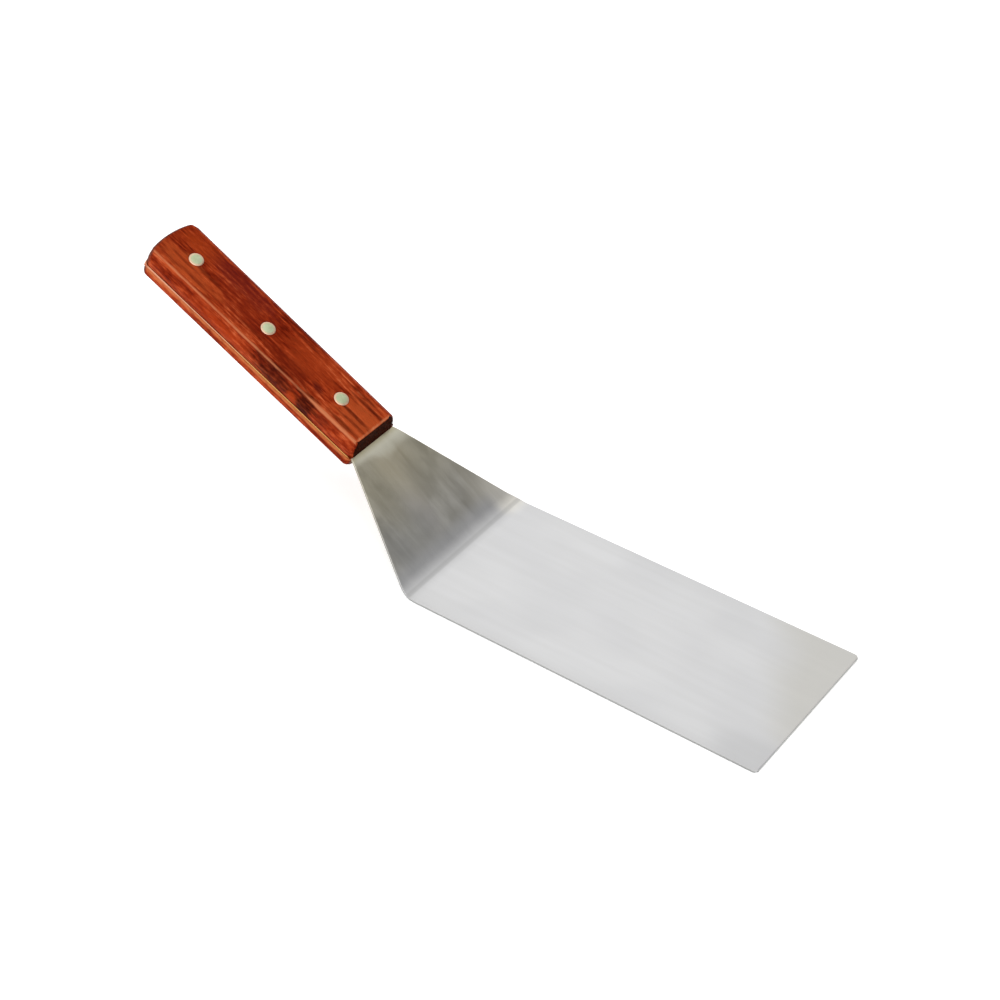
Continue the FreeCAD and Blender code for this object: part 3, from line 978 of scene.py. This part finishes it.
def add_floor():
    """Wide plain floor just under the blade."""
    mesh = bpy.data.meshes.new("floor")
    corners = [(-1, -1), (1, -1), (1, 1), (-1, 1)]
    points = [Vector((x * FLOOR_HALF, y * FLOOR_HALF, FLOOR_HEIGHT)) * MM for x, y in corners]
    mesh.from_pydata(points, [], [(0, 1, 2, 3)])
    floor = bpy.data.objects.new("floor", mesh)
    mesh.materials.append(floor_material())
    bpy.context.scene.collection.objects.link(floor)


def add_camera():
    """Camera that looks down on the blade's near side."""
    azimuth = math.radians(CAMERA_AZIMUTH)
    elevation = math.radians(CAMERA_ELEVATION)
    ahead = Vector((
        -math.sin(azimuth) * math.cos(elevation),
        math.cos(azimuth) * math.cos(elevation),
        -math.sin(elevation),
    ))
    camera = bpy.data.objects.new("camera", bpy.data.cameras.new("camera"))
    camera.data.lens = CAMERA_LENS
    camera.data.clip_start = NEAR_CLIP * MM
    turn = ahead.to_track_quat("-Z", "Y").to_matrix().to_4x4()
    roll = Matrix.Rotation(math.radians(CAMERA_ROLL), 4, "Z")
    place = (Vector(CAMERA_AIM) - ahead * CAMERA_DISTANCE) * MM
    camera.matrix_world = Matrix.Translation(place) @ turn @ roll
    bpy.context.scene.collection.objects.link(camera)
    bpy.context.scene.camera = camera


def add_sun(name, direction, strength, angle):
    """Soft light from a direction, as wide as an angle in degrees."""
    data = bpy.data.lights.new(name, "SUN")
    data.energy = strength
    data.angle = math.radians(angle)
    light = bpy.data.objects.new(name, data)
    light.rotation_euler = Vector(direction).to_track_quat("Z", "Y").to_euler()
    bpy.context.scene.collection.objects.link(light)


def add_world():
    """White tent, darker at the back right, where the neck finds its reflection."""
    world = bpy.data.worlds.new("studio")
    bpy.context.scene.world = world
    world.use_nodes = True
    tree = world.node_tree
    split = tree.nodes.new("ShaderNodeSeparateXYZ")
    tree.links.new(tree.nodes.new("ShaderNodeTexCoord").outputs["Generated"], split.inputs[0])

    def step(socket, low, high, out_low, out_high):
        node = tree.nodes.new("ShaderNodeMapRange")
        node.interpolation_type = "SMOOTHSTEP"
        set_range(node, low, high, out_low, out_high)
        tree.links.new(split.outputs[socket], node.inputs["Value"])
        return node.outputs["Result"]

    product = tree.nodes.new("ShaderNodeMath")
    product.operation = "MULTIPLY"
    tree.links.new(step("X", -0.50, 0.55, 0.0, 1.0), product.inputs[0])
    tree.links.new(step("Y", -0.20, 0.45, 0.0, 1.0), product.inputs[1])
    strength = tree.nodes.new("ShaderNodeMath")
    strength.operation = "MULTIPLY_ADD"
    tree.links.new(product.outputs[0], strength.inputs[0])
    strength.inputs[1].default_value = -TENT_DARKENING
    strength.inputs[2].default_value = TENT_STRENGTH
    background = tree.nodes["Background"]
    background.inputs["Color"].default_value = (1.0, 1.0, 1.0, 1.0)
    tree.links.new(strength.outputs[0], background.inputs["Strength"])


steel = steel_material()
wood = wood_material()
nickel = rivet_material()
blade_sheet(steel)
wooden_scale("upper_scale_look", 1, UPPER_FRONT_SETBACK, UPPER_FRONT_ROUNDING, wood)
wooden_scale("lower_scale_look", -1, LOWER_FRONT_SETBACK, LOWER_FRONT_ROUNDING, wood)
rivets(nickel)
add_floor()
add_world()
add_sun("overhead", direction=(0.35, -0.05, 0.93), strength=0.5, angle=30)
add_camera()
bpy.context.scene.view_settings.view_transform = "Standard"
